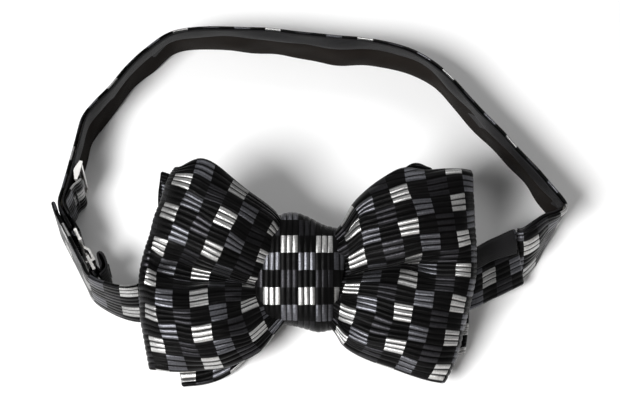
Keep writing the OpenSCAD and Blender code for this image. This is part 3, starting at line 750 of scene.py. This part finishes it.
BAND = [
    [[69, -31, 1.6], [68, -17.3, 15.4]], [[73, -28, 0.4], [72.5, -18.5, 17.4]], [[77, -23.5, 0], [76, -17.1, 18.8]],
    [[81, -17.5, 0], [80.5, -14.1, 19.3]], [[84.6, -11.5, 0], [85, -12.5, 19.5]], [[86.8, -5.5, 0], [87.8, -10.1, 19.5]],
    [[85.4, 0, 0], [86.6, -6, 19.5]], [[80, 7.5, 0], [81.6, 1, 19.5]], [[73, 16.5, 0], [75, 10, 19.5]],
    [[66, 26.5, 0], [67.5, 20.5, 19.5]], [[57, 39.5, 0], [57.5, 34.5, 19.5]], [[49.5, 50.5, 0], [49, 46, 19.5]],
    [[41.5, 57, 0], [41, 53.5, 19.5]], [[32, 60.5, 0], [32, 58, 19.5]], [[20, 63, 0], [20, 61, 19.5]],
    [[7, 64.5, 0], [7, 62.5, 19.5]], [[-5, 67, 0], [-5, 64, 19.5]], [[-17, 69, 0], [-17, 65.5, 19.5]],
    [[-30, 70, 0], [-30, 66, 19.5]], [[-42, 69.5, 0], [-42, 65.5, 19.5]], [[-52.5, 67, 0], [-52, 63, 19.5]],
    [[-61, 60.5, 0], [-60, 56.5, 19.5]], [[-66.5, 53, 0], [-66, 49, 19.5]], [[-72, 43.5, 0], [-71.6, 40, 19.5]],
    [[-76.6, 35, 0], [-76.8, 33, 19.5]], [[-80.5, 26.5, 0], [-80.5, 26.5, 19.5]], [[-82.1, 16.5, 0], [-82.1, 16.5, 19.5]],
    [[-83.7, 6.5, 0], [-83.7, 6.5, 19.5]], [[-85, -1.5, 0], [-85, -1.5, 19.5]], [[-85.9, -8.1, 0], [-85.9, -8.1, 19.5]],
    [H(-6.4, 0, 0), H(-6.4, 0, 19.5)], [H(-2, 0, 0), H(-2, 0, 19.5)]]
RETURN = [
    [[-84.15, 3.9, 1.9], [-84.15, 3.9, 17.6]], [[-84.5, 1.5, 1.9], [-84.5, 1.5, 17.6]], [[-85, -1.5, 1.9], [-85, -1.5, 17.6]],
    [[-85.9, -8.1, 1.9], [-85.9, -8.1, 17.6]], [H(-6.4, 0, 1.9), H(-6.4, 0, 17.6)], [H(-1.6, 0, 1.9), H(-1.6, 0, 17.6)]]
PASS = [
    [B(10, -11, -6.1), B(10, 8.5, -6.1)], [B(-14, -11, -6.1), B(-14, 8.5, -6.1)], [[-29, -44, 6.5], [-29, -27.5, 16.3]],
    [[-41, -45, 2.5], [-41, -31.5, 16]], [[-51.6, -45.1, 0.9], [-51.6, -37.5, 17]]]
LEFT_R = [
    [[-54.2, -44.9, 0.7], [-54.2, -38.3, 17.4]], [[-61, -43.7, 0.4], [-61, -40.5, 19.1]], [[-67.5, -40.9, 0.3], [-67.5, -39.5, 19.4]],
    [H(18.5, -2.2, 0.3), H(18.5, -2.2, 19.5)], [H(12, -2.2, 0.3), H(12, -2.2, 19.5)], [H(5, -2.2, 0.3), H(5, -2.2, 19.5)],
    [H(-2, -2.2, 0.3), H(-2, -2.2, 19.5)], [[-86.6, -12.3, 0.3], [-86.6, -12.3, 19.5]], [[-88, -8.7, 0.3], [-88, -8.7, 19.5]]]
RIGHT_R = [
    [B(8, -11, -5.6), B(8, 8.5, -5.6)], [B(20, -11.5, -5.9), B(20, 8, -5.9)], [B(34, -12, -5.6), B(34, 7.5, -5.6)], [B(54, -13, -5), B(54, 6.5, -5)],
    [[62, -38.7, 6.6], [60.5, -22.7, 17.6]], [[72.7, -32.1, 4.4], [69, -18.7, 18.2]]]

# neckband: outer cloth
vb = rib_rows(0.55, 18.85)
S, ub, nb = station_grid(BAND, 0.9, (vb - 0.0) / 19.5, offset=0.45, wob=1.7, seed=3, calm=(222, 12))
edge_round = ((vb / 19.5 - 0.5) * 2) ** 6
S = S - nb[:, None] * (0.35 * edge_round)[None, :, None]
o = cloth("band_silk", S, -ub + 10.15, vb + 0.8, 1.0, SILK, ends=(True, True), amp=0.2)
keep(o, replaces=["band_shell"])
# lining: soft, a little full, with shallow drags
vl = np.linspace(0.7, 14.6, 20)
S, ul, nl = station_grid(BAND, 1.0, vl / 19.5, offset=-0.62, wob=1.7, seed=3, calm=(222, 12), f0=0.01, f1=0.985)
full = 0.45 * np.sin(math.pi * (vl - 0.7) / 13.9) ** 0.6
drag = 0.60 * noise1(ul, 21, 7.0)[:, None] * np.sin(math.pi * (vl - 0.7) / 13.9)[None] + 0.42 * noise1(ul[:, None] + 1.3 * vl[None], 33, 5.5)
S = S - nl[:, None] * (full[None] + drag * 0.8)[..., None]
o = cloth("band_lining_cloth", S, ul, vl, 0.5, LINING, amp=0)
keep(o, replaces=["band_lining"])
# turned-in facing of black silk along the upper edge; its black also partly stands in for painted shade and dark
# reflection on the upper, backward-leaning part of the band
vf = np.linspace(9.0, 19.25, 18)
S, uf, nf = station_grid(BAND, 1.0, vf / 19.5, offset=-0.62, wob=1.7, seed=3, calm=(222, 12), f0=0.01, f1=0.985)
top = np.clip((vf - 13.2) / 5.8, 0, 1)
lift = 0.05 + 0.5 * np.clip((vf - 12.6) / 1.8, 0, 1) + 0.25 * np.sin(math.pi * top)
S = S - nf[:, None] * (lift[None] + 0.28 * noise1(uf, 44, 8.0)[:, None] * np.sin(math.pi * top)[None])[..., None]
o = cloth("band_facing_cloth", S, uf, vf, 0.6, FACING, amp=0)
keep(o)
vw = np.linspace(1.6, 17.2, 12)
S, uw, nw = station_grid(BAND, 1.0, vw / 19.5, offset=-0.14, wob=1.7, seed=3, calm=(222, 12), f0=0.01, f1=0.99)
o = cloth("band_wadding", S, uw, vw, 0.22, WOOL, amp=0)
keep(o, replaces=["band_interlining"])

# right strap
vr = rib_rows(0.5, 19.0)
S, ur, nr = station_grid(RIGHT_R, 0.9, vr / 19.5, level=False, wob=0.3, seed=8)
o = cloth("right_strap_silk", S, ur[-1] - ur + 7.55, vr + 0.8, 1.7, SILK, ends=(False, True), amp=0.2)
keep(o, replaces=["right_strap"])
vrw = np.linspace(1.2, 18.3, 12)
S, urw, _ = station_grid(RIGHT_R, 3.0, vrw / 19.5, level=False, wob=0.3, seed=8, f0=0.02, f1=0.97)
o = cloth("right_strap_wadding", S, urw, vrw, 0.5, WOOL, amp=0)
keep(o, replaces=["right_strap_interlining"])

# black reverse of the right strap, turned over its upper edge
vq = np.linspace(0, 1, 16)
S, uq, nq = station_grid(RIGHT_R, 0.9, vq, level=False, wob=0.3, seed=8, f0=0.42, f1=0.985)
x = np.linspace(0, 1, len(uq))
lowv = 14.6 - 2.4 * x ** 1.5 + 0.3 * noise1(uq, 71, 6.0)
topv = 19.55 + 0.35 * x
R0, _, n0 = station_grid(RIGHT_R, 0.9, np.array([0.0, 1.0]), level=False, wob=0.3, seed=8, f0=0.42, f1=0.985)
vv = (lowv[:, None] + (topv - lowv)[:, None] * vq[None]) / 19.5
S = R0[:, :1] * (1 - vv)[..., None] + R0[:, 1:] * vv[..., None]
lift = 1.42 + 0.35 * np.sin(math.pi * vq)[None] * (0.5 + x)[:, None] - 0.5 * (vq[None] > 0.97)
S = S + n0[:, None] * lift[..., None]
o = cloth("right_strap_reverse", S, uq, vv * 19.5, 0.8, FACING, ends=(False, True), amp=0)
keep(o)

# left strap: one piece from behind the knot to its free end outside the hook, bending at the edge of the bow
LS = PASS + LEFT_R
S, uls, nls = station_grid(LS, 0.9, vr / 19.5, level=False, wob=0.22, seed=12)
at = float(np.interp(63.3, -S[:, len(vr) // 2, 0], uls))
o = cloth("left_strap_silk", S, at - uls, vr - 2.9, 1.5, SILK, ends=(False, True), amp=0.2)
keep(o, replaces=["neck_pass", "left_strap"],
     blend=(ROOT, LEFT, (-0.046, -0.0415, 0.009), (-0.0585, -0.0415, 0.009)))
S, ulw, _ = station_grid(LS, 3.0, vrw / 19.5, level=False, wob=0.22, seed=12, f0=0.02, f1=0.985)
o = cloth("left_strap_wadding", S, ulw, vrw, 0.45, WOOL, amp=0)
keep(o, replaces=["left_strap_interlining"],
     blend=(ROOT, LEFT, (-0.046, -0.0415, 0.009), (-0.0585, -0.0415, 0.009)))

# ---------------------------------------------------------------- doubled-back end: slider loop, run to the hook, fold round the slot bar
SA = math.radians(81.0)


def SL(x, y):
    return np.array([-83.9 + x * math.cos(SA) - y * math.sin(SA), 5.5 + x * math.sin(SA) + y * math.cos(SA)])


route2d = []
# round the slider's centre bar
for a in (-150, -100, -50, 0, 50, 100, 140):
    r = math.radians(a)
    route2d.append(SL(0.95 * math.cos(r), -2.25 + 0.95 * math.sin(r)))
end_loop = len(route2d)
for x, y in ((-1.3, -3.5), (-2.3, -4.4), (-3.4, -4.7), (-4.7, -4.2), (-6.0, -3.2), (-7.6, -2.6), (-10.2, -2.25)):
    route2d.append(SL(x, y))
R2 = np.array([[-83.7, 6.5], [-85, -1.5], [-85.9, -8.1], H(-6.4, 0, 0)[:2], H(-2, 0, 0)[:2]])
dr = np.gradient(R2, axis=0)
dr /= np.linalg.norm(dr, axis=1, keepdims=True)
nn = np.stack([dr[:, 1], -dr[:, 0]], 1)
inner = R2 - nn * 1.9
route2d += [inner[2], inner[3]]
route2d += [H(-2.4, 1.95, 0)[:2]]
for a in (115, 75, 35, -5, -45, -85, -120):
    r = math.radians(a)
    route2d.append(H(1.28 * math.cos(r), 0.83 + 1.28 * math.sin(r), 0)[:2])
pts = np.array(route2d)
RET = []
for k, q in enumerate(pts):
    zl = 1.0 + 1.7 * (np.clip((end_loop + 2.5 - k) / 2.5, 0, 1) + np.clip((k - len(pts) + 10.0) / 1.5, 0, 1))
    RET.append([np.array([q[0], q[1], zl]), np.array([q[0], q[1], 19.6 - zl])])
vt = rib_rows(-6.0, 11.6)
S, ut, nt_ = station_grid(RET, 0.45, (vt + 6.0) / 17.6, level=True)
run = slice(int(0.25 * len(ut)), int(0.8 * len(ut)))
at = float(np.interp(-3.3, -S[run, 5, 1], ut[run]))
o = cloth("return_strap_silk", S, ut - at, vt, 0.8, SILK, ends=(True, True), amp=0.12)
keep(o, replaces=["return_strap", "strap_fold", "slider_loop"],
     blend=(ROOT, SLIDER, (-0.0850, -0.0075, 0.009), (-0.0838, 0.0012, 0.009)))

# ---------------------------------------------------------------- tab that holds the eye
TAB = [(19.4, -0.3), (17.0, -0.5), (15.4, -0.75), (14.2, -0.72), (13.2, 0.1), (13.15, 1.4), (14.2, 2.2), (15.8, 2.3), (16.6, 2.7),
       (15.6, 3.4), (13.2, 3.5), (11.7, 3.9), (11.5, 4.7), (12.6, 5.3), (15.2, 5.2), (17.4, 4.6), (18.6, 3.2), (19.2, 1.6)]
tab = [[H(x, y, 1.6), H(x, y, 17.9)] for x, y in TAB]
tab = [[H(x, y, 6.3), H(x, y, 13.2)] if 1 < k < 8 else q for k, ((x, y), q) in enumerate(zip(TAB, tab))]
vtab = rib_rows(0.2, 16.2)
S, utab, _ = station_grid(tab, 0.45, (vtab - 0.2) / 16.0, level=True)
o = cloth("eye_tab_silk", S, utab + 2.0, vtab + 4.4, 0.8, FACING, ends=(True, True), amp=0.10)
keep(o, body=LEFT, replaces=["eye_tab"])


# ---------------------------------------------------------------- bar tacks
def tack(name, centre, along, up, out, length, width, body, node):
    """A row of close zigzag stitches."""
    n = 34
    pts = []
    for k in range(n + 1):
        f = k / n - 0.5
        side = (0.5 if k % 2 else -0.5) * width
        pts.append(np.asarray(centre) + np.asarray(up) * f * length + np.asarray(along) * side + np.asarray(out) * (0.10 if k % 2 else 0.16))
    pts = np.array(pts)
    dense = []
    for k in range(n):
        for q in range(4):
            f = q / 4
            arch = 0.12 * math.sin(math.pi * f)
            dense.append(pts[k] * (1 - f) + pts[k + 1] * f + np.asarray(out) * arch)
    dense = np.array(dense)
    r, m = 0.13, 6
    t = np.gradient(dense, axis=0)
    t /= np.linalg.norm(t, axis=1, keepdims=True)
    ref = np.asarray(out, float)
    a = np.cross(t, ref)
    a /= np.linalg.norm(a, axis=1, keepdims=True)
    b = np.cross(t, a)
    verts = np.concatenate([[dense[k] + r * (math.cos(2 * math.pi * q / m) * a[k] + math.sin(2 * math.pi * q / m) * b[k]) for q in range(m)] for k in range(len(dense))])
    faces = [(k * m + q, k * m + (q + 1) % m, (k + 1) * m + (q + 1) % m, (k + 1) * m + q) for k in range(len(dense) - 1) for q in range(m)]
    faces += [tuple(range(m))[::-1], tuple(range((len(dense) - 1) * m, len(dense) * m))]
    o = new_mesh(name, verts, faces, None, (THREAD,))
    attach(o, body)
    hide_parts(node)


sdir = np.array([math.cos(SA), math.sin(SA), 0])
sin_ = np.array([math.sin(SA), -math.cos(SA), 0])
p = SL(-6.7, -3.42)
tack("return_tack_stitches", [p[0], p[1], 10.0], sdir, [0, 0, 1], sin_, 9.5, 0.9, ROOT, "return_bar_tack")
hx = np.array([math.cos(HA), math.sin(HA), 0])
hy = np.array([-math.sin(HA), math.cos(HA), 0])
tack("eye_tack_stitches", H(15.2, 5.62, 9.6), hx, [0, 0, 1], hy, 9.0, 0.9, LEFT, "eye_bar_tack")

# ---------------------------------------------------------------- metal keeps its CAD shape
for name in ("slider_frame", "hook", "eye_ring"):
    ob = bpy.data.objects.get(name)
    if ob is None:
        ob = [x for x in bpy.data.objects if x.name.startswith(name)][0]
    ob.data.materials.clear()
    ob.data.materials.append(NICKEL)

# ---------------------------------------------------------------- floor, light, camera
fm = Nodes("pale_floor")
tc = fm.nt.nodes.new("ShaderNodeTexCoord")
fm.set(Base_Color=fm.mix(fm.noise(tc.outputs["Object"], 14.0, 2.0), rgb(0.86, 0.86, 0.86), rgb(0.90, 0.90, 0.90)), Roughness=0.85)
me = bpy.data.meshes.new("floor")
me.from_pydata([(-3, -3, 0), (3, -3, 0), (3, 3, 0), (-3, 3, 0)], [], [(0, 1, 2, 3)])
floor = bpy.data.objects.new("floor", me)
bpy.context.scene.collection.objects.link(floor)
me.materials.append(fm.mat)

world = bpy.context.scene.world or bpy.data.worlds.new("studio")
bpy.context.scene.world = world
world.use_nodes = True
bg = world.node_tree.nodes.get("Background")
bg.inputs[0].default_value = (1.0, 1.0, 1.0, 1.0)
bg.inputs[1].default_value = 0.09


def area(name, loc, target, size, power, color=(1, 1, 1)):
    d = bpy.data.lights.new(name, "AREA")
    d.shape = "RECTANGLE"
    d.size, d.size_y = size
    d.energy = power
    d.color = color
    o = bpy.data.objects.new(name, d)
    bpy.context.scene.collection.objects.link(o)
    from mathutils import Vector
    o.location = loc
    o.rotation_euler = (Vector(target) - Vector(loc)).to_track_quat("-Z", "Y").to_euler()
    return o


area("key", (-0.45, -0.55, 0.70), (0, -0.02, 0.02), (0.42, 0.34), 16.0)
area("back", (0.10, 0.65, 0.75), (0, -0.02, 0.02), (0.90, 0.50), 2.6)
area("right", (0.70, 0.0, 0.55), (0, -0.02, 0.02), (0.35, 0.5), 0.5)
area("low", (0.0, -0.75, 0.22), (0, -0.03, 0.02), (0.8, 0.2), 0.8, (1.0, 0.93, 0.87))

cam = bpy.data.cameras.new("camera")
cam.lens = 84.66
cam.sensor_width = 36.0
co = bpy.data.objects.new("camera", cam)
bpy.context.scene.collection.objects.link(co)
el = math.radians(60)
co.location = (0.0, (-3.5 - 512 * math.cos(el)) * MM, (8 + 512 * math.sin(el)) * MM)
co.rotation_euler = (math.radians(30), 0, 0)
bpy.context.scene.camera = co
bpy.context.scene.view_settings.view_transform = "Standard"
